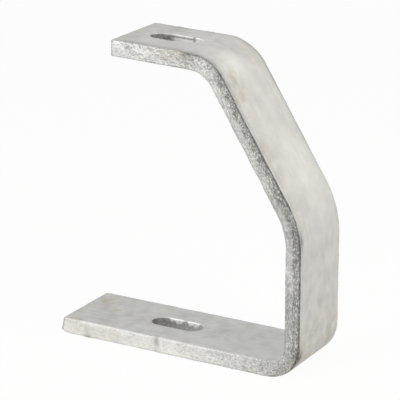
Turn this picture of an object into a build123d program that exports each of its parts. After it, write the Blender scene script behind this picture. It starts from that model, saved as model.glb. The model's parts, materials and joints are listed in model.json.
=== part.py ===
from build123d import *
from math import atan2, degrees, radians, tan
import os

# U bracket: one length of flat steel bar with a slot near each end, bent three times into a U
# whose upper half leans inwards, then hot-dip galvanised.
#
# Frame: +Z up, +Y from the open end of the U to the upright leg, X across the bar.
# Origin: middle of the footprint, on the underside of the base flange.

# ---- driving dimensions, mm ------------------------------------------------------------------

# flat bar
bar_width = 40.0
bar_thickness = 8.0
bar_edge_radius = 0.8  # rolled edges along the bar
end_corner_radius = 2.0  # corners of the two cut ends, seen in plan

# outside of the bent bar, to the sharp corners that its outer faces would meet at
overall_height = 150.0
base_reach = 130.5  # tip of the base flange to the outer face of the leg
top_reach = 100.0  # tip of the top flange to the outer face of the leg
waist_height = 75.0  # where the leg turns into the slope
shoulder_setback = 47.0  # outer face of the leg to where the slope turns into the top flange

# inside radii of the three bends
base_bend_radius = 9.0
waist_bend_radius = 37.0
shoulder_bend_radius = 14.0

# one slot in each flange, the lower one straight under the upper one
slot_width = 10.5
slot_length = 27.0
slot_bend_gap = 3.7  # flat bar left between the upper slot and the shoulder bend
slot_edge_radius = 0.6

# the base flange ends in a sheared face: it leans, and the blade dragged its lower edge up
shear_lean = 1.5
shear_drag_length = 6.0
shear_drag_height = 1.4

# ---- places worked out from them -------------------------------------------------------------

leg_y = base_reach / 2
base_tip_y = leg_y - base_reach
top_tip_y = leg_y - top_reach
shoulder_turn = 90 - degrees(atan2(shoulder_setback, overall_height - waist_height))
shoulder_tangent = (shoulder_bend_radius + bar_thickness) * tan(radians(shoulder_turn / 2))
slot_y = leg_y - shoulder_setback - shoulder_tangent - slot_bend_gap - slot_length / 2
flange_undersides = (0, overall_height - bar_thickness)


def bar_profile():
    """Side view of the bent bar, with a square tip on top and a sheared tip below."""
    inside_radii = (base_bend_radius, waist_bend_radius, shoulder_bend_radius)
    with BuildSketch(Plane.YZ) as profile:
        with BuildLine():
            FilletPolyline(
                (base_tip_y, 0),
                (leg_y, 0),
                (leg_y, waist_height),
                (leg_y - shoulder_setback, overall_height),
                (top_tip_y, overall_height),
                radius=[radius + bar_thickness for radius in inside_radii],
            )
            offset(amount=bar_thickness, side=Side.LEFT, kind=Kind.ARC)
        make_face()
        with BuildLine():
            heel = (base_tip_y + shear_drag_length, 0)
            toe = (base_tip_y, shear_drag_height)
            brow = (base_tip_y + shear_lean, bar_thickness)
            offcut_y = base_tip_y - bar_thickness
            TangentArc(heel, toe, tangent=(-1, 0))
            Polyline(toe, brow, (offcut_y, bar_thickness), (offcut_y, 0), heel)
        make_face(mode=Mode.SUBTRACT)
    return profile.sketch


def cut_ends(bar):
    """The two cut faces: they look along -Y and are no taller than the bar is thick."""
    return [
        face
        for face in bar.faces().filter_by(GeomType.PLANE)
        if face.normal_at().Y < -0.9 and face.bounding_box().size.Z <= bar_thickness
    ]


def bent_bar():
    """The bent bar with its end corners rounded, then the two edge loops that run right round it."""
    bar = extrude(bar_profile(), bar_width / 2, both=True)
    corners = [edge for end in cut_ends(bar) for edge in end.edges().filter_by(Axis.X, reverse=True)]
    bar = fillet(corners, end_corner_radius)
    rims = [edge for end in cut_ends(bar) for edge in end.edges().filter_by(Axis.X)]
    return fillet(rims, bar_edge_radius)


def u_bracket():
    """The bent bar with a slot punched through each flange and the slots' rims softened."""
    with BuildPart() as bracket:
        add(bent_bar())
        for underside in flange_undersides:
            with BuildSketch(Plane((0, slot_y, underside), x_dir=(0, 1, 0))):
                SlotOverall(slot_length, slot_width)
            extrude(amount=bar_thickness, mode=Mode.SUBTRACT)
            rims = bracket.edges(Select.LAST).filter_by(Axis.Z, reverse=True)
            fillet(rims, slot_edge_radius)
    return bracket.part


os.makedirs("parts", exist_ok=True)
export_step(u_bracket(), "parts/u_bracket.step")
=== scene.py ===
import json
import math

import bpy
import numpy as np
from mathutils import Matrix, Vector


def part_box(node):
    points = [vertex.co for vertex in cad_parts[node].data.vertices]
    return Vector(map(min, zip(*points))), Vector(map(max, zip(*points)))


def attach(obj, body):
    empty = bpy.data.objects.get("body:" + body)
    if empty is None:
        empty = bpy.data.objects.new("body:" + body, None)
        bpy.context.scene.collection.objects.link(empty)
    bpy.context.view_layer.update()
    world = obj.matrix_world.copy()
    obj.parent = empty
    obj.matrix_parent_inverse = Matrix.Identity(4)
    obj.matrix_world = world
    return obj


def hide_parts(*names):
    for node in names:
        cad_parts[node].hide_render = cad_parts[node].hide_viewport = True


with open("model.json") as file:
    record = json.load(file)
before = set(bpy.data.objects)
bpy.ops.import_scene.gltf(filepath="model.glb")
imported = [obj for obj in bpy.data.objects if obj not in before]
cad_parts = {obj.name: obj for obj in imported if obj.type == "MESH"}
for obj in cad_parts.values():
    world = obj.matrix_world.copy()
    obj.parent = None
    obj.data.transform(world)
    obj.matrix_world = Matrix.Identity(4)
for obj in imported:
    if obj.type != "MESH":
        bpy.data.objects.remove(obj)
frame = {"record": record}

bl_info = {
    "name": "Galvanised U bracket",
    "version": (1, 0, 0),
    "blender": (4, 5, 0),
    "location": "3D View > Sidebar > U Bracket",
    "description": "Makes a bent flat-bar U bracket with its zinc coat, and a studio to show it in",
    "category": "Add Mesh",
}

# One length of flat bar, slotted, bent three times and hot-dip galvanised. The frame holds the bare
# steel. The piece made here is the same bar as it comes out of the zinc: rough where the bar was
# sheared, smooth where it was rolled, squeezed a little at the bends, and with zinc left in the slots.
#
# A place on the bar is (along, across, depth): along the outer face from the tip of the base flange,
# across the bar from its middle, and down into the bar from its outer face.

MM = 0.001
STEEL_LOW, STEEL_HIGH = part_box("u_bracket")
MOUNTS = {mount["name"]: mount for mount in frame["record"]["mounts"]}


def linear_rgb(colour):
    """An sRGB colour such as "#c9cac4" as the linear red, green and blue that shaders take."""
    srgb = np.array([int(colour[i:i + 2], 16) for i in (1, 3, 5)]) / 255
    return tuple(np.where(srgb <= 0.04045, srgb / 12.92, ((srgb + 0.055) / 1.055) ** 2.4))


def length(name, description, value):
    """A length that a user can set, in metres."""
    return bpy.props.FloatProperty(
        name=name, description=description, default=value, min=0, precision=5,
        subtype="DISTANCE", unit="LENGTH",
    )


def share(name, description, value):
    """A share from 0 to 1 that a user can set."""
    return bpy.props.FloatProperty(
        name=name, description=description, default=value, min=0, max=1, subtype="FACTOR"
    )


def angle(name, description, degrees):
    """An angle that a user can set."""
    return bpy.props.FloatProperty(
        name=name, description=description, default=math.radians(degrees), subtype="ANGLE", unit="ROTATION"
    )


def colour(name, description, value):
    """A colour that a user can set, from its sRGB hex value."""
    return bpy.props.FloatVectorProperty(
        name=name, description=description, default=linear_rgb(value), min=0, max=1, size=3, subtype="COLOR"
    )


class BarSizes(bpy.types.PropertyGroup):
    """Sizes of the bent bar under its coat, the same as the frame's."""

    thickness: length("Thickness", "Thickness of the flat bar", 8 * MM)
    edge_radius: length("Edge radius", "Rounding of the edges that run along the bar", 0.8 * MM)
    corner_radius: length("Corner radius", "Rounding of the cut ends' corners on the -X side", 2 * MM)
    sharp_radius: length("Sharp radius", "Rounding of the cut ends' other edges and corners", 0.5 * MM)
    waist_height: length("Waist height", "Height at which the leg turns into the slope", 75 * MM)
    shoulder_setback: length("Shoulder setback", "Leg's outer face to the top of the slope", 47 * MM)
    top_reach: length("Top reach", "Leg's outer face to the tip of the top flange", 100 * MM)
    base_reach: length("Base reach", "Leg's outer face to the tip of the base flange", 130.5 * MM)
    base_bend: length("Base bend", "Inside radius of the bend from base to leg", 9 * MM)
    waist_bend: length("Waist bend", "Inside radius of the bend from leg to slope", 37 * MM)
    shoulder_bend: length("Shoulder bend", "Inside radius of the bend from slope to top flange", 14 * MM)
    shear_lean: length("Shear lean", "How far the base's sheared face leans back", 1.5 * MM)
    drag_length: length("Drag length", "Length of base that the shear blade dragged up", 6 * MM)
    drag_height: length("Drag height", "Height that the blade dragged the lower edge up", 1.4 * MM)
    slot_rim: length("Slot rim", "Rounding of the slots' rims", 0.6 * MM)


class CoatSizes(bpy.types.PropertyGroup):
    """Sizes of what bending and dipping did to the bar's shape and surface."""

    mesh_step: length("Mesh step", "Spacing of the mesh along the bar", 0.5 * MM)
    squeeze: length("Squeeze", "Spread inside a bend as tight as the bar is thick", 0.8 * MM)
    thinning: share("Thinning", "Share of its thickness that the bar loses in such a bend", 0.1)
    springback: angle("Springback", "How far the top flange has sprung open after its bend", 1.6)
    settle: length("Settle", "How much lower than the steel the top flange starts after its bend", 0.8 * MM)
    run_width: length("Run width", "Width of the waves that draining zinc leaves", 9 * MM)
    run_height: length("Run height", "Height of those waves", 0.07 * MM)
    lump_width: length("Lump width", "Width of the lumps of zinc on a sheared face", 2.4 * MM)
    lump_height: length("Lump height", "Height of those lumps", 0.14 * MM)
    grit_width: length("Grit width", "Width of the grit in the zinc on a sheared face", 1.0 * MM)
    grit_height: length("Grit height", "Height of that grit", 0.16 * MM)
    # The seam is a shallow groove cut below the outer face's edges, and its dark colour is painted shade.
    seam_depth: length("Seam depth", "Depth of the dross seam below the outer face's edges", 0.35 * MM)
    seam_width: length("Seam width", "Half width of that seam", 0.5 * MM)
    seam_cut: length("Seam cut", "How deep the seam is cut in", 0.3 * MM)
    seam_wander: length("Seam wander", "Length of the seam's waves along the bar", 7 * MM)
    seam_break: length("Seam break", "Length of the seam's darker and paler stretches", 3 * MM)
    bead_height: length("Bead height", "Height of the bead of zinc on a slot's rim", 0.4 * MM)
    drip_length: length("Drip length", "How far zinc ran down the lower slot's far wall", 1.3 * MM)
    drip_width: length("Drip width", "Width of those runs", 1.7 * MM)
    # The dark line below the upper slot's bead is a painted shadow.
    bead_shadow_depth: length("Crack depth", "Depth of the dark line below the upper slot's rim", 1.0 * MM)
    bead_shadow_width: length("Crack width", "Half width of that line", 0.4 * MM)
    # The nick is a split in the bead, darkened with painted shade.
    nick_length: length("Nick length", "Length of the dark nick down the upper slot's wall", 2.5 * MM)
    wall_lump_width: length("Wall lump width", "Width of the lumps on a slot's wall", 2 * MM)
    streak_length: length("Streak length", "Length of the rolling streaks along the bar", 30 * MM)
    streak_width: length("Streak width", "Width of those streaks", 1.0 * MM)
    cloud_width: length("Cloud width", "Width of the faint clouds in the zinc", 8 * MM)
    blotch_length: length("Blotch length", "Length of the blotches on a sheared face", 6 * MM)
    blotch_width: length("Blotch width", "Width of those blotches", 2.5 * MM)
    # The pale rim along the flanges' edges is a painted highlight.
    highlight_rim_width: length("Rim width", "Width of the pale rim where zinc ran over the bar's edges", 1.0 * MM)
    highlight_rim_fade: length("Rim fade", "Width over which that rim fades", 0.4 * MM)
    highlight_rim_wave: length("Rim wave", "Length of that rim's waves", 2.5 * MM)
    # This strip is painted darker into the tone.
    edge_shade: length("Edge shade", "Width of the duller strip along the slope's edges", 2.2 * MM)
    edge_wave: length("Edge wave", "How far the sheared faces wander in and out", 0.2 * MM)
    edge_wave_length: length("Edge wave length", "Length of that wander", 5 * MM)
    stain_width: length("Stain width", "Width of the flecks in a stain", 4 * MM)
    # These flecks break up the dross and the painted shade alike.
    dross_and_shade_width: length("Dross width", "Width of the flecks in the dross", 1.6 * MM)
    grain_length: length("Grain length", "Length of the grain along the bar on a sheared face", 1.1 * MM)
    grain_width: length("Grain width", "Width of the grain, drawn coarse enough to show", 0.6 * MM)
    grain_depth: length("Grain depth", "Depth of the grain's relief", 0.25 * MM)


class CoatLook(bpy.types.PropertyGroup):
    """How strongly each pattern shows in the zinc, and how the zinc shines."""

    streaks: share("Streaks", "How much the rolling streaks change the tone", 0.06)
    clouds: share("Clouds", "How much the clouds change the tone", 0.12)
    blotches: share("Blotches", "How much the blotches change a sheared face's tone", 0.12)
    # This paler rim is a painted highlight.
    rim: share("Rim", "How much paler the rim along the edges is", 0.3)
    crests: share("Crests", "How pale the crests of the grain are", 0.8)
    pits: share("Pits", "How dark the pits of the grain are", 0.75)
    relief: share("Relief", "Strength of the grain's relief", 0.6)
    smooth_relief: share("Smooth relief", "Share of that relief on the rolled faces", 0.25)
    metallic: share("Metallic", "Share of bare metal in the coat, the rest being matt oxide", 0.5)
    rolled_roughness: share("Rolled roughness", "Roughness of the rolled faces", 0.48)
    sheared_roughness: share("Sheared roughness", "Roughness of the sheared faces", 0.62)


class CoatColours(bpy.types.PropertyGroup):
    """Colours of the zinc coat."""

    zinc: colour("Zinc", "Smooth matt zinc on the rolled faces", "#c8c8c5")
    # Bright zinc also stands for painted light on the sides near the tips, and dull zinc for painted shade
    # on the sides of the leg and the slope.
    bright_zinc_and_light: colour("Bright zinc", "Pale zinc on crests and on the tips' sheared faces", "#e6e6e1")
    dull_zinc_and_shade: colour("Dull zinc", "Darker zinc on the leg's and the slope's sheared faces", "#828381")
    # The dross colour also paints shade: in the slots, under the top slot's bead, in the seam and along the
    # cut ends' edges.
    dross_and_shade: colour("Dross", "Dark dross in pits, seams and slots", "#4a4a48")
    stain: colour("Stain", "Warm tint of old flux on the coat", "#b3ab90")


class StageSettings(bpy.types.PropertyGroup):
    """The studio."""

    floor_colour: colour("Floor", "Pale studio floor", "#f4f4f2")
    floor_glow: share("Floor glow", "Share of plain white that the camera sees on the floor", 0.95)
    floor_radius: length("Floor radius", "Radius of the floor", 4)
    floor_gap: length("Floor gap", "Room under the steel for its zinc", 0.3 * MM)
    sky: share("Sky", "Strength of the sky's light on the object", 0.45)
    lamp_size: length("Lamp size", "Side of the square softboxes", 0.7)
    lamp_distance: length("Lamp distance", "Softboxes to the point that the camera looks at", 0.9)
    camera_turn: angle("Camera turn", "Turn of the camera from the open end of the U", 119.78)
    camera_rise: angle("Camera rise", "Height of the camera above the horizon", 18.11)
    camera_distance: length("Camera distance", "Camera to the point that it looks at", 1000.1 * MM)
    camera_aim: length("Aim height", "Height of the point that the camera looks at", 73.05 * MM)
    camera_aim_along: length("Aim along", "Place of that point along the base", 1.35 * MM)
    focal_length: bpy.props.FloatProperty(
        name="Focal length", description="Focal length on a 36 mm sensor", default=190.74,
        subtype="DISTANCE_CAMERA",
    )


# ---- noise ------------------------------------------------------------------------------------


def lattice_noise(places, size, seed):
    """Smooth noise from -1 to 1: random heights at the corners of cubes of that size, blended inside
    each cube by the curve 6t^5 - 15t^4 + 10t^3 along each of its three edges."""
    cell = places / size
    low = np.floor(cell).astype(int)
    t = cell - low
    t = t * t * t * (t * (6 * t - 15) + 10)
    low = low - low.min(axis=0)
    heights = np.random.default_rng(seed).uniform(-1, 1, low.max(axis=0) + 2)
    total = np.zeros(len(places))
    for corner in np.ndindex(2, 2, 2):
        weight = np.prod(np.where(corner, t, 1 - t), axis=1)
        total += weight * heights[tuple((low + corner).T)]
    return total


def smooth_step(value, low, high):
    """0 below low, 1 above high, and 3t^2 - 2t^3 between them."""
    t = np.clip((value - low) / (high - low), 0, 1)
    return t * t * (3 - 2 * t)


# ---- the bar's shape --------------------------------------------------------------------------


class OuterFace:
    """The line of the bar's outer face, seen from the side, as a function of the length along it.

    Between bends the heading stays put, and round a bend it turns evenly with length. The place is
    the running sum of the heading's direction. The last flange's heading is short by the springback."""

    samples = 12001

    def __init__(self, bar, coat):
        leg_y = STEEL_HIGH.y
        top = STEEL_HIGH.z - coat.settle
        setback = bar.shoulder_setback * (top - bar.waist_height) / (STEEL_HIGH.z - bar.waist_height)
        corners = np.array([
            (leg_y - bar.base_reach, 0),
            (leg_y, 0),
            (leg_y, bar.waist_height),
            (leg_y - setback, top),
            (leg_y - bar.top_reach, top),
        ])
        radii = np.array([bar.base_bend, bar.waist_bend, bar.shoulder_bend]) + bar.thickness
        runs = np.diff(corners, axis=0)
        headings = np.arctan2(runs[:, 1], runs[:, 0])
        turns = np.diff(headings)
        tangents = radii * np.tan(turns / 2)
        spans = np.zeros(7)
        spans[0::2] = np.hypot(runs[:, 0], runs[:, 1]) - np.append(0, tangents) - np.append(tangents, 0)
        spans[1::2] = radii * turns
        self.knots = np.append(0, np.cumsum(spans))
        self.length = self.knots[-1]
        self.along = np.linspace(0, self.length, self.samples)
        sprung = np.append(headings[:-1], headings[-1] - coat.springback)
        self.heading = np.interp(self.along, self.knots, np.repeat(sprung, 2))
        self.tightness = bar.thickness / (radii - bar.thickness)
        middle = (self.heading[1:] + self.heading[:-1]) / 2
        step = self.along[1]
        self.y = corners[0, 0] + step * np.append(0, np.cumsum(np.cos(middle)))
        self.z = corners[0, 1] + step * np.append(0, np.cumsum(np.sin(middle)))

    def at(self, along):
        """Place (y, z) and heading at those lengths."""
        return tuple(np.interp(along, self.along, values) for values in (self.y, self.z, self.heading))

    def strain(self, along):
        """Strain of the bends: 0 on the flats, and round a bend a squared sine that rises to the bar's
        thickness over the inside radius."""
        return sum(
            tight * np.sin(np.pi * np.clip((along - start) / (end - start), 0, 1)) ** 2
            for tight, start, end in zip(self.tightness, self.knots[1:-1:2], self.knots[2:-1:2])
        )

    def along_of(self, y, flange):
        """Length along the bar of a place y on the "base" or the "top" flange."""
        if flange == "base":
            return y - self.y[0]
        return self.length - (y - self.y[-1])


def bar_places(face, bar, coat, along, across, depth):
    """Points of the bent bar.

    A point lies on the outer face's line, moved into the bar by its depth along the line's normal,
    and sideways by its place across the bar. Inside a bend the bar spreads and outside it narrows,
    in proportion to the distance from its middle. Near the base's tip the lower edge rises by a
    square law and the cut leans back in proportion to the height."""
    y, z, heading = face.at(along)
    layer = depth / bar.thickness
    depth = depth * (1 - coat.thinning * face.strain(along))
    spread = 1 + (2 * layer - 1) * face.strain(along) * coat.squeeze / STEEL_HIGH.x
    drag = bar.drag_height * np.clip(1 - along / bar.drag_length, 0, 1) ** 2
    lean = bar.shear_lean * layer * np.clip(1 - along / (2 * bar.drag_length), 0, 1) ** 2
    raised = depth + drag * (1 - layer)
    return np.column_stack([
        across * spread,
        y - raised * np.sin(heading) + lean,
        z + raised * np.cos(heading),
    ])


class Section:
    """The bar's cross-section: a closed ring round a rectangle with rounded corners.

    A ring point is a point of the rectangle between the corners' centres, moved out by the corner
    radius along a unit direction. The ring starts at the outer face's -X end and runs to +X."""

    across_cells, depth_cells, corner_cells = 38, 14, 4

    def __init__(self):
        a, b, c = self.across_cells, self.depth_cells, self.corner_cells
        wide, tall, turn = np.arange(a) / a, np.arange(b) / b, np.arange(c) / c * np.pi / 2
        self.core_x = np.concatenate([2 * wide - 1, np.ones(c + b + c), 1 - 2 * wide, -np.ones(c + b + c)])
        self.core_d = np.concatenate([np.zeros(a + c), tall, np.ones(c + a + c), 1 - tall, np.zeros(c)])
        quarter = [np.sin(turn), np.cos(turn)]
        zero_a, one_a, zero_b, one_b = np.zeros(a), np.ones(a), np.zeros(b), np.ones(b)
        self.out_x = np.concatenate(
            [zero_a, quarter[0], one_b, quarter[1], zero_a, -quarter[0], -one_b, -quarter[1]]
        )
        self.out_d = np.concatenate(
            [-one_a, -quarter[1], zero_b, quarter[0], one_a, quarter[1], zero_b, -quarter[0]]
        )
        self.count = len(self.core_x)
        self.inner_start = a + 2 * c + b

    def rings(self, low, high, inset, radius, thickness):
        """(across, depth) of each ring's points, from each ring's two sides, depth inset and radius."""
        low, high, inset, radius = (v[:, None] for v in (low, high, inset, radius))
        across = (low + high) / 2 + self.core_x * ((high - low) / 2 - radius) + self.out_x * radius
        depth = inset + radius + self.core_d * (thickness - 2 * inset - 2 * radius) + self.out_d * radius
        return across, depth


# Mesh cells along a tip's rounding, and round a slot: over its flat surround, its rims and its wall.
TIP_CELLS, SURROUND_CELLS, RIM_CELLS, WALL_CELLS = 8, 8, 4, 14

# Width of the meshed surround of a slot, from its core line to its edge.
SURROUND = 12 * MM

# Least rounding of the bar's edges, at the tips, where the tips' own rounding takes over.
LEAST_ROUND = 0.05 * MM


def tip_stations(total, step, radius):
    """Lengths along the bar at which rings stand: even steps, closing up at both tips as
    radius * (1 - sin) of an evenly growing angle does, so that the tips' roundings are smooth."""
    closing = radius * (1 - np.sin(np.linspace(np.pi / 2, 0, TIP_CELLS + 1)))
    even = np.linspace(radius, total - radius, round((total - 2 * radius) / step) + 1)
    return np.concatenate([closing[:-1], even, (total - closing[:-1])[::-1]])


def quarter_round(from_end, radius):
    """Inset of a quarter circle of that radius at a distance from the end: full at the end, then none."""
    left = np.clip(radius - from_end, 0, radius)
    return radius - np.sqrt(radius**2 - left**2)


def grid_quads(ids, flip=False):
    """Quads between neighbours of a grid of vertex numbers."""
    quads = np.stack([ids[:-1, :-1], ids[1:, :-1], ids[1:, 1:], ids[:-1, 1:]], axis=-1).reshape(-1, 4)
    return quads[:, ::-1] if flip else quads


class Surface:
    """Vertices as (along, across, depth, hole) and quads, added piece by piece and welded by number."""

    def __init__(self):
        self.rows = []
        self.quads = []
        self.count = 0

    def add(self, along, across, depth, hole=0.0):
        """Adds points of any one shape and returns their numbers in that shape."""
        along, across, depth, hole = np.broadcast_arrays(along, across, depth, hole)
        self.rows.append(np.stack([along, across, depth, hole], axis=-1).reshape(-1, 4))
        ids = self.count + np.arange(along.size).reshape(along.shape)
        self.count += along.size
        return ids

    def finish(self):
        """All vertices that a quad uses, and the quads, as two arrays."""
        used, quads = np.unique(np.concatenate(self.quads), return_inverse=True)
        return np.concatenate(self.rows)[used], quads.reshape(-1, 4)


def close_end(surface, section, ring_ids, ring, along, flip):
    """Closes an end with a patch over the ring: each inner point is the sum of the straight blends
    between opposite sides, less the blend between the four corners."""
    a = section.across_cells + section.corner_cells
    b = section.depth_cells + section.corner_cells
    first = -(section.corner_cells // 2)
    low = (first + np.arange(a + 1)) % section.count
    right = (first + a + np.arange(b + 1)) % section.count
    high = (first + 2 * a + b - np.arange(a + 1)) % section.count
    left = (first + 2 * a + 2 * b - np.arange(b + 1)) % section.count
    u, v = np.meshgrid(np.linspace(0, 1, a + 1), np.linspace(0, 1, b + 1), indexing="ij")

    def blended(values):
        sides = (1 - v) * values[low][:, None] + v * values[high][:, None]
        sides = sides + (1 - u) * values[left][None, :] + u * values[right][None, :]
        corners = (1 - u) * ((1 - v) * values[low[0]] + v * values[high[0]])
        return sides - corners - u * ((1 - v) * values[low[-1]] + v * values[high[-1]])

    ids = np.empty((a + 1, b + 1), int)
    ids[:, 0], ids[:, -1], ids[0, :], ids[-1, :] = (ring_ids[side] for side in (low, high, left, right))
    across, depth = blended(ring[0]), blended(ring[1])
    ids[1:-1, 1:-1] = surface.add(along, across[1:-1, 1:-1], depth[1:-1, 1:-1])
    surface.quads.append(grid_quads(ids, flip))


def slot_wall(surface, bar, slot, boundary, outer_ids, inner_ids):
    """Joins the outer face to the inner face through a slot.

    Each line of the wall starts on the boundary of a hole in the outer face's grid, runs straight
    towards the nearest point of the slot's core line, turns down through a rounded rim and the wall,
    and runs back the same way on the inner face."""
    centre, half_core, half_width, rim = slot.centre, slot.half_core, slot.half_width, slot.rim
    foot = np.clip(boundary[0] - centre, -half_core, half_core)
    out_along, out_across = boundary[0] - centre - foot, boundary[1]
    reach = np.hypot(out_along, out_across)
    turn = np.linspace(0, np.pi / 2, RIM_CELLS + 1)
    ease = np.linspace(1, 0, SURROUND_CELLS + 1)[1:-1] ** 1.3
    side = rim * (1 - np.sin(turn))
    drop = rim * (1 - np.cos(turn))
    wall = np.linspace(rim, bar.thickness - rim, WALL_CELLS + 1)[1:-1]
    flat = reach[:, None] - half_width - rim
    face = half_width + rim + flat * ease
    lines = len(reach)
    rims = np.broadcast_to(half_width + side, (lines, len(side)))
    radius = np.concatenate(
        [face, rims, np.full((lines, len(wall)), half_width), rims[:, ::-1], face[:, ::-1]], axis=1
    )
    depth = np.concatenate([
        np.zeros(len(ease)), drop, wall, (bar.thickness - drop)[::-1], np.full(len(ease), bar.thickness)
    ])
    hole = np.concatenate([
        np.zeros(len(ease)), turn / (np.pi / 2), np.ones(len(wall)), (turn / (np.pi / 2))[::-1],
        np.zeros(len(ease)),
    ])
    along = centre + foot[:, None] + out_along[:, None] / reach[:, None] * radius
    across = out_across[:, None] / reach[:, None] * radius
    ids = np.column_stack([outer_ids, surface.add(along, across, depth, hole), inner_ids])
    surface.quads.append(grid_quads(np.vstack([ids, ids[:1]])))


def bar_surface(face, bar, coat, slots):
    """The whole skin of the bar as (along, across, depth, hole) places and quads."""
    section = Section()
    stations = tip_stations(face.length, coat.mesh_step, bar.corner_radius)
    from_end = np.minimum(stations, face.length - stations)
    inset = quarter_round(from_end, bar.sharp_radius)
    ring = section.rings(
        STEEL_LOW.x + quarter_round(from_end, bar.corner_radius),
        STEEL_HIGH.x - quarter_round(from_end, bar.sharp_radius),
        inset,
        np.maximum(bar.edge_radius - inset, LEAST_ROUND),
        bar.thickness,
    )
    surface = Surface()
    ids = surface.add(stations[:, None], *ring)
    kept = np.ones((len(stations) - 1, section.count), bool)
    for slot in slots:
        reach = slot.half_core + SURROUND
        i0, i1 = np.searchsorted(stations, [slot.centre - reach, slot.centre + reach])
        share_out = SURROUND / (STEEL_HIGH.x - bar.edge_radius)
        j0, j1 = np.round((1 + np.array([-1, 1]) * share_out) / 2 * section.across_cells).astype(int)
        i, j = np.arange(i0, i1), np.arange(j0, j1)
        loop_i = np.concatenate([i, np.full(len(j), i1), i[::-1] + 1, np.full(len(j), i0)])
        loop_j = np.concatenate([np.full(len(i), j0), j, np.full(len(i), j1), j[::-1] + 1])
        inner_j = (section.inner_start + section.across_cells - loop_j) % section.count
        boundary = (stations[loop_i], ring[0][loop_i, loop_j])
        slot_wall(surface, bar, slot, boundary, ids[loop_i, loop_j], ids[loop_i, inner_j])
        kept[i0:i1, j0:j1] = False
        inner_end = section.inner_start + section.across_cells
        kept[i0:i1, inner_end - j1:inner_end - j0] = False
    quads = grid_quads(np.column_stack([ids, ids[:, :1]]))
    surface.quads.append(quads[kept.ravel()])
    close_end(surface, section, ids[0], (ring[0][0], ring[1][0]), stations[0], False)
    close_end(surface, section, ids[-1], (ring[0][-1], ring[1][-1]), stations[-1], True)
    return surface.finish()


class Slot:
    """A slot through one of the flanges, by its place on the bar."""

    def __init__(self, face, bar, name, flange):
        mount = MOUNTS[name]
        self.half_width = mount["dims"]["hole_r_mm"] * MM
        self.half_length = mount["dims"]["slot_length_mm"] * MM / 2
        self.half_core = self.half_length - self.half_width
        self.centre = face.along_of(mount["pos_m"][1], flange)
        self.rim = bar.slot_rim
        self.to_bend = 1 if flange == "base" else -1
        self.upper_depth = bar.thickness if flange == "base" else 0

    def share(self, along):
        """0 at the slot's end by the flange's tip, 1 at its end by the bend."""
        return 0.5 + self.to_bend * (along - self.centre) / (2 * self.half_length)

    def near(self, along):
        """1 at the slot and its rims, else 0."""
        return np.abs(along - self.centre) < self.half_length + 2 * self.rim

    def upper(self, places):
        """How far points lie below the flange's upper face, and 1 on the wall's -X side, else 0."""
        along, across, depth, hole = places.T
        far_side = smooth_step(-across, 0.05 * self.half_width, 0.5 * self.half_width)
        return np.abs(depth - self.upper_depth), self.near(along) * np.minimum(2 * hole, 1) * far_side

    def drip(self, places, coat):
        """1 where zinc ran over the rim and down the wall: a hem that is ragged with noise."""
        below, here = self.upper(places)
        track = np.column_stack([places[:, 0], np.zeros((len(places), 2))])
        hem = coat.drip_length * (1 + 1.4 * lattice_noise(track, coat.drip_width, 17))
        return here * smooth_step(hem - below, -0.2 * MM, 0.2 * MM)

    def walls(self, places):
        """1 on the wall, falling to 0 over the rims."""
        return smooth_step(places[:, 3], 0.7, 1) * self.near(places[:, 0])


def vertex_normals(points, quads):
    """Unit normals at the vertices: the sum of the neighbouring quads' area vectors, made one long."""
    a, b, c, d = (points[quads[:, i]] for i in range(4))
    areas = np.cross(c - a, d - b)
    total = np.zeros_like(points)
    for axis in range(3):
        for corner in range(4):
            total[:, axis] += np.bincount(quads[:, corner], areas[:, axis], len(points))
    return total / np.linalg.norm(total, axis=1, keepdims=True)


# How the zinc lies on the sheared faces, with painted light and shade: values at the base's tip, the base's
# middle, both ends of each bend and the top's tip, for the half of the face by the inner face and the half
# by the outer face. The tones paint the sides paler towards the tips and darker from the base bend to the
# shoulder, as light falls on them.
INNER_TONE = (0.25, 0.18, 0.62, 0.72, 0.68, 0.72, 0.58, 0.60, 0.50)
OUTER_TONE = (0.25, 0.12, 0.62, 0.90, 0.92, 0.95, 0.88, 0.50, 0.22)
INNER_GRIT = (0.25, 0.40, 0.80, 0.90, 0.50, 0.60, 0.60, 0.90, 0.60)
OUTER_GRIT = (0.20, 0.30, 0.90, 1.00, 0.90, 1.00, 1.00, 1.00, 0.90)

# The same for the rolled faces: the inner face, then the outer face. On the outer face the tones are partly
# painted light and shade: dark where the base bend starts, paler on the slope than on the top flange.
INNER_FACE_TONE = (0.56, 0.53, 0.50, 0.50, 0.50, 0.50, 0.50, 0.50, 0.50)
OUTER_FACE_TONE = (0.50, 0.50, 0.90, 0.52, 0.48, 0.38, 0.36, 0.52, 0.62)

# Patches on the coat: share of the length, place across, share of the thickness, half length and half width
# of the patch, and how strong it is. Stains are warm, from old flux. Dross patches are dark, and the first
# of them, on the outer face's +X edge where the base bend meets the leg, is painted shade. Pale patches
# make the tone paler.
STAINS = (
    (0.40, 0 * MM, 0, 18 * MM, 60 * MM, 0.50),
    (0.80, 12 * MM, 0, 10 * MM, 5 * MM, 0.60),
    (0.83, -13 * MM, 0, 7 * MM, 5 * MM, 0.40),
    (0.69, 16 * MM, 0, 12 * MM, 4 * MM, 0.35),
    (0.60, 16 * MM, 0, 8 * MM, 4 * MM, 0.30),
    (0.025, -9 * MM, 1, 6 * MM, 7 * MM, 0.75),
    (0.08, 14 * MM, 1, 4 * MM, 3 * MM, 0.50),
    (0.06, 0 * MM, 1, 7 * MM, 4 * MM, 0.35),
    (0.02, 20 * MM, 0.85, 6 * MM, 3 * MM, 0.55),
    (0.08, 20 * MM, 0.5, 9 * MM, 3 * MM, 0.40),
    (0.905, 20 * MM, 0, 10 * MM, 2 * MM, 0.55),
)
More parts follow.
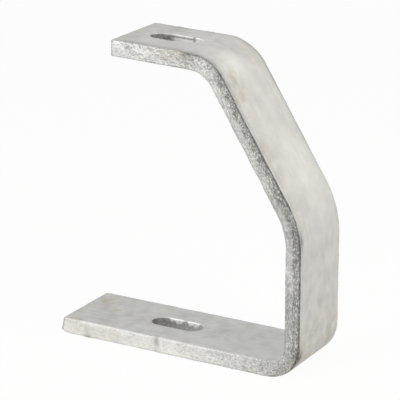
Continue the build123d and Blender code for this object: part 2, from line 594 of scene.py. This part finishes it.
DROSS_AND_SHADE = (
    (0.40, 18.5 * MM, 0, 4 * MM, 2 * MM, 1.00),
    (0.57, 18.5 * MM, 0, 3 * MM, 1.3 * MM, 0.80),
    (0.59, 20 * MM, 0.25, 15 * MM, 3 * MM, 0.25),
    (0.88, 20 * MM, 0.1, 4 * MM, 1.5 * MM, 0.50),
    (0.16, 20 * MM, 0.7, 1.5 * MM, 2 * MM, 0.50),
    (0.045, 20 * MM, 0, 2 * MM, 2 * MM, 0.50),
)
PALE = (
    (0.83, 6 * MM, 0, 8 * MM, 8 * MM, 0.40),
    (0.66, -4 * MM, 0, 18 * MM, 9 * MM, 0.25),
)


def along_sides(face, inner_values, outer_values, along, layer):
    """Blends the two halves' values by depth, each one straight lines between its stations."""
    stations = np.insert(face.knots, 1, face.knots[1] / 2)
    inner, outer = (np.interp(along, stations, values) for values in (inner_values, outer_values))
    return inner + (outer - inner) * smooth_step(-layer, -0.6, -0.4)


def shaded_seam(face, coat, along, depth, side):
    """The wavy dark seam along the outer face's edges, painted shade for the shallow groove that the height
    cuts there: a bell curve over the distance from a line that wanders with noise, strong from bend to
    bend, faint on the flanges, and broken up by noise."""
    track = np.column_stack([along, side * 0.2, np.zeros(len(along))])
    line = coat.seam_depth + lattice_noise(track, coat.seam_wander, 21) * coat.seam_width
    broken = 0.95 + 0.5 * lattice_noise(track, coat.seam_break, 22)
    first, last = (face.knots[1] + face.knots[2]) / 2, face.knots[6]
    stretch = [first - 4 * MM, first + 2 * MM, last - 4 * MM, last + 3 * MM]
    strength = np.interp(along, stretch, [0.1, 1, 1, 0.1])
    return np.exp(-(((depth - line) / coat.seam_width) ** 2)) * broken * strength * np.abs(side)


def patches(face, bar, along, across, depth, spots):
    """Sum of bell curves over the distance from each spot, measured in the spot's own sizes."""
    total = np.zeros(len(along))
    for share_along, place, layer, half_length, half_width, strength in spots:
        away = ((along - share_along * face.length) / half_length) ** 2
        away += ((across - place) / half_width) ** 2 + ((depth / bar.thickness - layer) / 0.5) ** 2
        total += strength * np.exp(-away)
    return np.clip(total, 0, 1)


class Coat:
    """The zinc on every point of the bar, worked out from where the point lies on the bar.

    sheared: 1 on faces that were sheared or punched. grit: how gritty. tone: 0 bright to 1 dull, with
    painted light and shade in it. rim: where the painted highlight along the flanges' edges shows. dross:
    how much dark dross and painted shade. stain: how much warm stain. height: thickness of zinc over the
    steel."""

    # Shares of a normal that point across the bar, or along it, where a sheared face starts and is full.
    side_on, end_on = (0.2, 0.6), (0.5, 0.95)

    def __init__(self, face, bar, coat, slots, places, points, normals):
        along, across, depth, hole = places.T
        layer = depth / bar.thickness
        side = np.sign(across) * smooth_step(np.abs(normals[:, 0]), *self.side_on) * (1 - hole)
        heading = face.at(along)[2]
        along_bar = np.abs(normals[:, 1] * np.cos(heading) + normals[:, 2] * np.sin(heading)) * (1 - hole)
        self.sheared = np.clip(side**2 + smooth_step(along_bar, *self.end_on), 0, 1)
        seam = shaded_seam(face, coat, along, depth, side)
        self.shade(face, bar, coat, along, across, depth, layer)
        self.gather(face, bar, seam, side, along, across, depth)
        self.raise_zinc(coat, points, side, seam)
        self.line_slots(coat, slots, places, points)
        self.dross_and_shade = np.clip(self.dross_and_shade, 0, 1)

    def shade(self, face, bar, coat, along, across, depth, layer):
        """Grit and tone from the stations, with their painted light and shade, the pale patches, the darker
        strip along the slope's edges, which is a bell curve over the distance from the edge, and the
        painted highlight of the rim on the two flanges."""
        side_tone = along_sides(face, INNER_TONE, OUTER_TONE, along, layer)
        face_tone = along_sides(face, INNER_FACE_TONE, OUTER_FACE_TONE, along, layer)
        self.grit = self.sheared * along_sides(face, INNER_GRIT, OUTER_GRIT, along, layer)
        self.tone = face_tone + (side_tone - face_tone) * self.sheared
        self.tone -= patches(face, bar, along, across, depth, PALE)
        rolled = 1 - self.sheared
        # A darker strip painted along the outer face's edges from the waist bend on.
        from_edge = STEEL_HIGH.x - np.abs(across)
        strip = np.exp(-((from_edge / coat.edge_shade) ** 2)) * rolled * (layer < 0.5)
        self.tone += 0.5 * strip * np.interp(along, face.knots[3:7], [0, 0.3, 1, 0.5])
        # The rim is a painted highlight along the flanges' edges.
        self.rim = np.interp(along, [*face.knots[1:3], *face.knots[5:7]], [1, 0, 0, 1]) * rolled

    def gather(self, face, bar, seam, side, along, across, depth):
        """Painted shade in the seam and along the brows of the two cut ends, dross and painted shade in
        patches, and the stains.
        """
        # The brow is painted shade along the edges of the cut ends.
        from_tip = np.minimum(along, face.length - along)
        brow = np.exp(-((from_tip / bar.edge_radius) ** 2))
        brow *= np.where(along < face.length / 2, 1, np.abs(side))
        self.dross_and_shade = 1.2 * seam + 0.75 * brow + patches(face, bar, along, across, depth, DROSS_AND_SHADE)
        self.stain = patches(face, bar, along, across, depth, STAINS)

    def raise_zinc(self, coat, points, side, seam):
        """Height of the zinc: long waves, the sides' wander, and lumps and grit on sheared faces, less
        the cut of the seam."""
        waves = lattice_noise(points * (1, 0.5, 0.5), coat.run_width, 11) * coat.run_height
        lumps = lattice_noise(points, coat.lump_width, 12) * coat.lump_height
        grit = lattice_noise(points, coat.grit_width, 13) * coat.grit_height
        wander = lattice_noise(points, coat.edge_wave_length, 19) * coat.edge_wave * np.abs(side)
        self.height = waves + wander + self.grit * (lumps + grit) - seam * coat.seam_cut

    def line_slots(self, coat, slots, places, points):
        """Zinc in the slots: both walls, darkened with painted shade, ragged runs on the base's, and on the
        top's a bead with a painted shadow line below it and a nick across both, darkened with painted
        shade."""
        base, top = slots
        ragged = 0.5 + 0.5 * lattice_noise(points, coat.wall_lump_width, 14)
        b, u = base.share(places[:, 0]), top.share(places[:, 0])
        # Painted shade inside the slots: the base's wall darker towards the flange's tip, the top's wall
        # dark over its third by the tip.
        self.wall(coat, base.walls(places), ragged, 0.6, 0.62 - 0.35 * smooth_step(b, 0.1, 0.9))
        self.wall(coat, top.walls(places), ragged, 0.2, 0.75 - 0.75 * smooth_step(u, 0.25, 0.4))
        # The beads are raised zinc, and their paleness is partly a painted highlight on the slots' far
        # rims.
        self.bead(coat, base.drip(places, coat) * smooth_step(b, 0.15, 0.3))
        below, here = top.upper(places)
        rest = smooth_step(u, 0.28, 0.36)
        # The nick's dark line is painted shade in the split of the bead, and the line below the bead is a
        # painted shadow.
        nick = here * np.exp(-(((u - 0.74) / 0.02) ** 2)) * (below < coat.nick_length)
        bead_shadow = here * np.exp(-(((below - coat.bead_shadow_depth) / coat.bead_shadow_width) ** 2))
        bead_shadow *= rest * smooth_step(-u, -0.8, -0.76)
        self.bead(coat, here * rest * 0.6 * smooth_step(-below, -0.7 * MM, -0.4 * MM) * (1 - nick))
        self.tone -= 0.45 * top.walls(places) * rest
        self.dross_and_shade += bead_shadow + nick

    def bead(self, coat, drip):
        """Raises a bead of zinc and paints it pale, partly as the bead's own zinc and partly as a painted
        highlight on the slot's rim.
        """
        self.height += drip * coat.bead_height
        self.tone -= 0.8 * drip
        self.dross_and_shade *= 1 - drip

    def wall(self, coat, wall, ragged, grit, dross_and_shade):
        """Lines a punched wall with lumps and grit, and darkens it with painted shade."""
        self.height += wall * (ragged - 0.5) * grit * coat.bead_height
        self.sheared = np.maximum(self.sheared, wall * grit)
        self.grit = np.maximum(self.grit, wall * grit)
        self.dross_and_shade += wall * dross_and_shade


def make_mesh(name, points, quads, attributes, material):
    """A smooth mesh object from points, quads, vertex attributes and a material. Attributes are numbers
    or, with three columns, vectors."""
    mesh = bpy.data.meshes.new(name)
    mesh.from_pydata(points.astype(np.float32), [], quads.astype(np.int32))
    mesh.shade_smooth()
    for label, values in attributes.items():
        kind, field = ("FLOAT_VECTOR", "vector") if values.ndim == 2 else ("FLOAT", "value")
        layer = mesh.attributes.new(label, kind, "POINT")
        layer.data.foreach_set(field, values.astype(np.float32).ravel())
    mesh.materials.append(material)
    mesh.validate()
    piece = bpy.data.objects.new(name, mesh)
    bpy.context.scene.collection.objects.link(piece)
    return piece


# ---- materials --------------------------------------------------------------------------------


def add_node(tree, kind, settings=None, inputs=None):
    """Adds a node, sets its properties, and sets each input or links it to another node's socket."""
    node = tree.nodes.new(kind)
    for name, value in (settings or {}).items():
        setattr(node, name, value)
    for name, value in (inputs or {}).items():
        if isinstance(value, bpy.types.NodeSocket):
            tree.links.new(value, node.inputs[name])
        else:
            node.inputs[name].default_value = value
    return node


def rgba(colour_value):
    """A colour property with its alpha of 1."""
    return (*colour_value, 1)


WHITE = (1, 1, 1, 1)


def galvanised_steel(coat, look, colours):
    """Hot-dip galvanised mild steel: hot-rolled bar, sheared and bent, then drawn out of molten zinc.

    The coat set matt and pale grey. Rolled faces are smooth, with faint streaks along the bar and faint
    clouds. Sheared faces took more zinc and are gritty, with pale crests and dark pits. Dross and painted
    shade darken seams, slots and the cut ends' edges, a painted highlight lightens the flanges' edges, the
    tone carries painted light and shade, and old flux tints a few places straw. The zinc's own grain is
    finer than a view of the whole bracket shows, so it is drawn coarser than it is."""
    material = bpy.data.materials.new("hot_dip_galvanised_steel")
    material.use_nodes = True
    tree = material.node_tree
    tree.nodes.clear()
    layers = {
        name: add_node(tree, "ShaderNodeAttribute", {"attribute_name": name}).outputs["Fac"]
        for name in ("sheared", "grit", "tone", "rim", "dross_and_shade", "stain")
    }
    on_bar = add_node(tree, "ShaderNodeAttribute", {"attribute_name": "place"}).outputs["Vector"]
    in_space = add_node(tree, "ShaderNodeTexCoord").outputs["Object"]

    # Noise for each pattern: over the place on the bar or in space, its length, its width, its detail.
    noises = {}
    for name, place, long, wide, detail in (
        ("streaks", on_bar, coat.streak_length, coat.streak_width, 2),
        ("clouds", in_space, coat.cloud_width, coat.cloud_width, 8),
        ("blotches", on_bar, coat.blotch_length, coat.blotch_width, 3),
        ("grain", on_bar, coat.grain_length, coat.grain_width, 3),
        ("rim", in_space, coat.highlight_rim_wave, coat.highlight_rim_wave, 3),
        ("stain", in_space, coat.stain_width, coat.stain_width, 3),
        ("dross_and_shade", in_space, coat.dross_and_shade_width, coat.dross_and_shade_width, 2),
    ):
        scale = (1 / long, 1 / wide, 1 / wide)
        scaled = add_node(tree, "ShaderNodeMapping", inputs={"Vector": place, "Scale": scale})
        shape = {"Vector": scaled.outputs["Vector"], "Scale": 1, "Detail": detail, "Roughness": 0.6}
        noises[name] = add_node(tree, "ShaderNodeTexNoise", inputs=shape).outputs["Fac"]

    # What each noise gives: from these two values of it to these two amounts.
    amounts = {}
    for name, noise, first, last, least, most in (
        ("streaks", "streaks", 0.3, 0.7, -look.streaks, look.streaks),
        ("clouds", "clouds", 0.3, 0.7, -look.clouds, look.clouds),
        ("blotches", "blotches", 0.3, 0.7, -look.blotches, look.blotches),
        ("crests", "grain", 0.52, 0.68, 0, look.crests),
        ("pits", "grain", 0.5, 0.3, 0, look.pits),
        ("rim", "rim", 0.35, 0.65, 0, coat.highlight_rim_width),
        ("stain", "stain", 0.35, 0.65, 0.1, 1),
        ("dross_and_shade", "dross_and_shade", 0.35, 0.65, 1, 0.6),
    ):
        reach = {"From Min": first, "From Max": last, "To Min": least, "To Max": most}
        amounts[name] = add_node(
            tree, "ShaderNodeMapRange", inputs={"Value": noises[noise], **reach}
        ).outputs["Result"]

    # The painted highlight along the flanges' edges: the distance from the bar's middle plus the rim's own
    # ragged width.
    across = add_node(tree, "ShaderNodeSeparateXYZ", inputs={"Vector": on_bar}).outputs["Y"]
    off_middle = add_node(tree, "ShaderNodeMath", {"operation": "ABSOLUTE"}, {0: across})
    ragged = add_node(
        tree, "ShaderNodeMath", {"operation": "ADD"}, {0: off_middle.outputs[0], 1: amounts["rim"]}
    )
    fade = {"From Min": STEEL_HIGH.x, "From Max": STEEL_HIGH.x - coat.highlight_rim_fade, "To Min": -look.rim}
    amounts["rim"] = add_node(
        tree, "ShaderNodeMapRange", inputs={"Value": ragged.outputs[0], "To Max": 0, **fade}
    ).outputs["Result"]

    tone = layers["tone"]
    for name, mask in (
        ("streaks", 1), ("clouds", 1), ("blotches", layers["sheared"]), ("rim", layers["rim"]),
    ):
        tone = add_node(
            tree, "ShaderNodeMath", {"operation": "MULTIPLY_ADD"}, {0: amounts[name], 1: mask, 2: tone}
        ).outputs[0]
    # The tone runs from bright to dull zinc, and carries painted light and shade as well as the zinc's own
    # tone.
    ramp = add_node(tree, "ShaderNodeValToRGB", inputs={"Fac": tone})
    stops = ramp.color_ramp.elements
    stops[0].position, stops[0].color = 0.0, rgba(colours.bright_zinc_and_light)
    stops[1].position, stops[1].color = 1.0, rgba(colours.dull_zinc_and_shade)
    stops.new(0.5).color = rgba(colours.zinc)

    zinc = ramp.outputs["Color"]
    # The dross mix darkens the zinc with dross and with painted shade.
    for name, layer, tint in (
        ("crests", "grit", colours.bright_zinc_and_light),
        ("stain", "stain", colours.stain),
        ("pits", "grit", colours.dross_and_shade),
        ("dross_and_shade", "dross_and_shade", colours.dross_and_shade),
    ):
        amount = add_node(
            tree, "ShaderNodeMath", {"operation": "MULTIPLY"}, {0: amounts[name], 1: layers[layer]}
        )
        zinc = add_node(
            tree, "ShaderNodeMix", {"data_type": "RGBA"}, {0: amount.outputs[0], 6: zinc, 7: rgba(tint)}
        ).outputs[2]

    roughened = add_node(
        tree, "ShaderNodeMapRange", inputs={"Value": layers["sheared"], "To Min": look.smooth_relief}
    )
    relief = add_node(
        tree, "ShaderNodeMath", {"operation": "MULTIPLY"}, {0: noises["grain"], 1: roughened.outputs[0]}
    )
    bump = add_node(
        tree,
        "ShaderNodeBump",
        inputs={"Strength": look.relief, "Distance": coat.grain_depth, "Height": relief.outputs[0]},
    )
    roughness = add_node(
        tree,
        "ShaderNodeMapRange",
        inputs={
            "Value": layers["sheared"],
            "To Min": look.rolled_roughness,
            "To Max": look.sheared_roughness,
        },
    )
    shader = add_node(
        tree,
        "ShaderNodeBsdfPrincipled",
        inputs={
            "Base Color": zinc,
            "Metallic": look.metallic,
            "Roughness": roughness.outputs["Result"],
            "Normal": bump.outputs["Normal"],
        },
    )
    add_node(tree, "ShaderNodeOutputMaterial", inputs={"Surface": shader.outputs["BSDF"]})
    return material


def seen_rays(tree):
    """1 for what the camera sees, straight or by way of metal or glass, and 0 for what lights a piece."""
    rays = add_node(tree, "ShaderNodeLightPath").outputs
    seen = rays["Is Camera Ray"]
    for kind in ("Is Glossy Ray", "Is Transmission Ray"):
        seen = add_node(
            tree, "ShaderNodeMath", {"operation": "MAXIMUM"}, {0: seen, 1: rays[kind]}
        ).outputs[0]
    return seen


def studio_floor(stage):
    """Matt white paper sweep: it takes a soft shadow, and the camera sees it as white."""
    material = bpy.data.materials.new("white_paper_sweep")
    material.use_nodes = True
    tree = material.node_tree
    tree.nodes.clear()
    seen = add_node(
        tree, "ShaderNodeMath", {"operation": "MULTIPLY"}, {0: seen_rays(tree), 1: stage.floor_glow}
    )
    paper = add_node(tree, "ShaderNodeBsdfDiffuse", inputs={"Color": rgba(stage.floor_colour)})
    glow = add_node(tree, "ShaderNodeEmission", inputs={"Color": WHITE, "Strength": 1})
    mixed = add_node(
        tree, "ShaderNodeMixShader", inputs={0: seen.outputs[0], 1: paper.outputs[0], 2: glow.outputs[0]}
    )
    add_node(tree, "ShaderNodeOutputMaterial", inputs={"Surface": mixed.outputs[0]})
    return material


# ---- operators --------------------------------------------------------------------------------


class BRACKET_OT_zinc_bar(bpy.types.Operator):
    """Make the bent bar with its zinc coat, in place of the bare steel"""

    bl_idname = "bracket.zinc_bar"
    bl_label = "Zinc-coated bar"

    def execute(self, context):
        scene = context.scene
        bar, coat = scene.bracket_bar, scene.bracket_coat
        face = OuterFace(bar, coat)
        slots = Slot(face, bar, "base_slot", "base"), Slot(face, bar, "top_slot", "top")
        places, quads = bar_surface(face, bar, coat, slots)
        points = bar_places(face, bar, coat, *places[:, :3].T)
        normals = vertex_normals(points, quads)
        zinc = Coat(face, bar, coat, slots, places, points, normals)
        points += normals * zinc.height[:, None]
        attributes = {
            "place": places[:, :3], "sheared": zinc.sheared, "grit": zinc.grit, "tone": zinc.tone,
            "rim": zinc.rim, "dross_and_shade": zinc.dross_and_shade, "stain": zinc.stain,
        }
        steel = galvanised_steel(coat, scene.bracket_look, scene.bracket_colours)
        piece = make_mesh("zinc_bar", points, quads, attributes, steel)
        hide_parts("u_bracket")
        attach(piece, "root")
        return {"FINISHED"}


# Softboxes: direction from the aim, power in watts and tint.
SOFTBOXES = (
    ("key_softbox", (1.0, -0.35, 0.45), 4.3, "#ffffff"),
    ("side_softbox", (0.1, 1.0, 0.7), 3.6, "#fff6ea"),
)
FLOOR_SIDES = 64


def area_lamp(name, aim, direction, distance, size, power, tint):
    """A square soft lamp that looks at the aim from a direction."""
    data = bpy.data.lights.new(name, "AREA")
    data.shape = "SQUARE"
    data.size = size
    data.energy = power
    data.color = linear_rgb(tint)
    lamp = bpy.data.objects.new(name, data)
    towards = Vector(direction).normalized()
    lamp.location = aim + towards * distance
    lamp.rotation_mode = "QUATERNION"
    lamp.rotation_quaternion = towards.to_track_quat("Z", "Y")
    bpy.context.scene.collection.objects.link(lamp)


class BRACKET_OT_studio(bpy.types.Operator):
    """Make the floor, the lamps, the sky and the camera"""

    bl_idname = "bracket.studio"
    bl_label = "Studio"

    def execute(self, context):
        scene = context.scene
        stage = scene.bracket_stage
        turns = np.linspace(0, 2 * np.pi, FLOOR_SIDES, endpoint=False)
        radius, height = stage.floor_radius, np.full(FLOOR_SIDES, STEEL_LOW.z - stage.floor_gap)
        edge = np.column_stack([radius * np.cos(turns), radius * np.sin(turns), height])
        mesh = bpy.data.meshes.new("floor")
        mesh.from_pydata(edge, [], [list(range(FLOOR_SIDES))])
        mesh.materials.append(studio_floor(stage))
        floor = bpy.data.objects.new("floor", mesh)
        scene.collection.objects.link(floor)

        world = bpy.data.worlds.new("studio_sky")
        world.use_nodes = True
        tree = world.node_tree
        tree.nodes.clear()
        strength = add_node(
            tree, "ShaderNodeMapRange", inputs={"Value": seen_rays(tree), "To Min": stage.sky, "To Max": 1}
        )
        sky = add_node(
            tree, "ShaderNodeBackground", inputs={"Color": WHITE, "Strength": strength.outputs["Result"]}
        )
        add_node(tree, "ShaderNodeOutputWorld", inputs={"Surface": sky.outputs[0]})
        scene.world = world

        aim = Vector((0, stage.camera_aim_along, stage.camera_aim))
        for name, direction, power, tint in SOFTBOXES:
            area_lamp(name, aim, direction, stage.lamp_distance, stage.lamp_size, power, tint)

        turn, rise = stage.camera_turn, stage.camera_rise
        back = Vector((
            math.sin(turn) * math.cos(rise), -math.cos(turn) * math.cos(rise), math.sin(rise)
        ))
        data = bpy.data.cameras.new("camera")
        data.lens = stage.focal_length
        data.sensor_width = 36
        data.clip_start, data.clip_end = 0.05, 30
        camera = bpy.data.objects.new("camera", data)
        camera.location = aim + back * stage.camera_distance
        camera.rotation_mode = "QUATERNION"
        camera.rotation_quaternion = (-back).to_track_quat("-Z", "Y")
        scene.collection.objects.link(camera)
        scene.camera = camera
        scene.view_settings.view_transform = "Standard"
        return {"FINISHED"}


class BRACKET_PT_sidebar(bpy.types.Panel):
    """Sizes, colours and steps of the bracket"""

    bl_label = "U Bracket"
    bl_idname = "BRACKET_PT_sidebar"
    bl_space_type = "VIEW_3D"
    bl_region_type = "UI"
    bl_category = "U Bracket"

    def draw(self, context):
        for title, name, _ in GROUPS:
            box = self.layout.box()
            box.label(text=title)
            group = getattr(context.scene, name)
            for key in group.bl_rna.properties.keys():
                if key not in ("name", "rna_type"):
                    box.prop(group, key)
        for operator in OPERATORS:
            self.layout.operator(operator.bl_idname)


GROUPS = (
    ("Bar", "bracket_bar", BarSizes),
    ("Coat", "bracket_coat", CoatSizes),
    ("Look", "bracket_look", CoatLook),
    ("Colours", "bracket_colours", CoatColours),
    ("Studio", "bracket_stage", StageSettings),
)
OPERATORS = (BRACKET_OT_zinc_bar, BRACKET_OT_studio)


def register():
    for _, name, group in GROUPS:
        bpy.utils.register_class(group)
        setattr(bpy.types.Scene, name, bpy.props.PointerProperty(type=group))
    for group in (*OPERATORS, BRACKET_PT_sidebar):
        bpy.utils.register_class(group)


def unregister():
    for group in (BRACKET_PT_sidebar, *reversed(OPERATORS)):
        bpy.utils.unregister_class(group)
    for _, name, group in reversed(GROUPS):
        delattr(bpy.types.Scene, name)
        bpy.utils.unregister_class(group)


def main():
    """Makes the bracket and its studio."""
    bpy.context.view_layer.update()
    register()
    bpy.ops.bracket.zinc_bar()
    bpy.ops.bracket.studio()


if __name__ == "__main__":
    main()
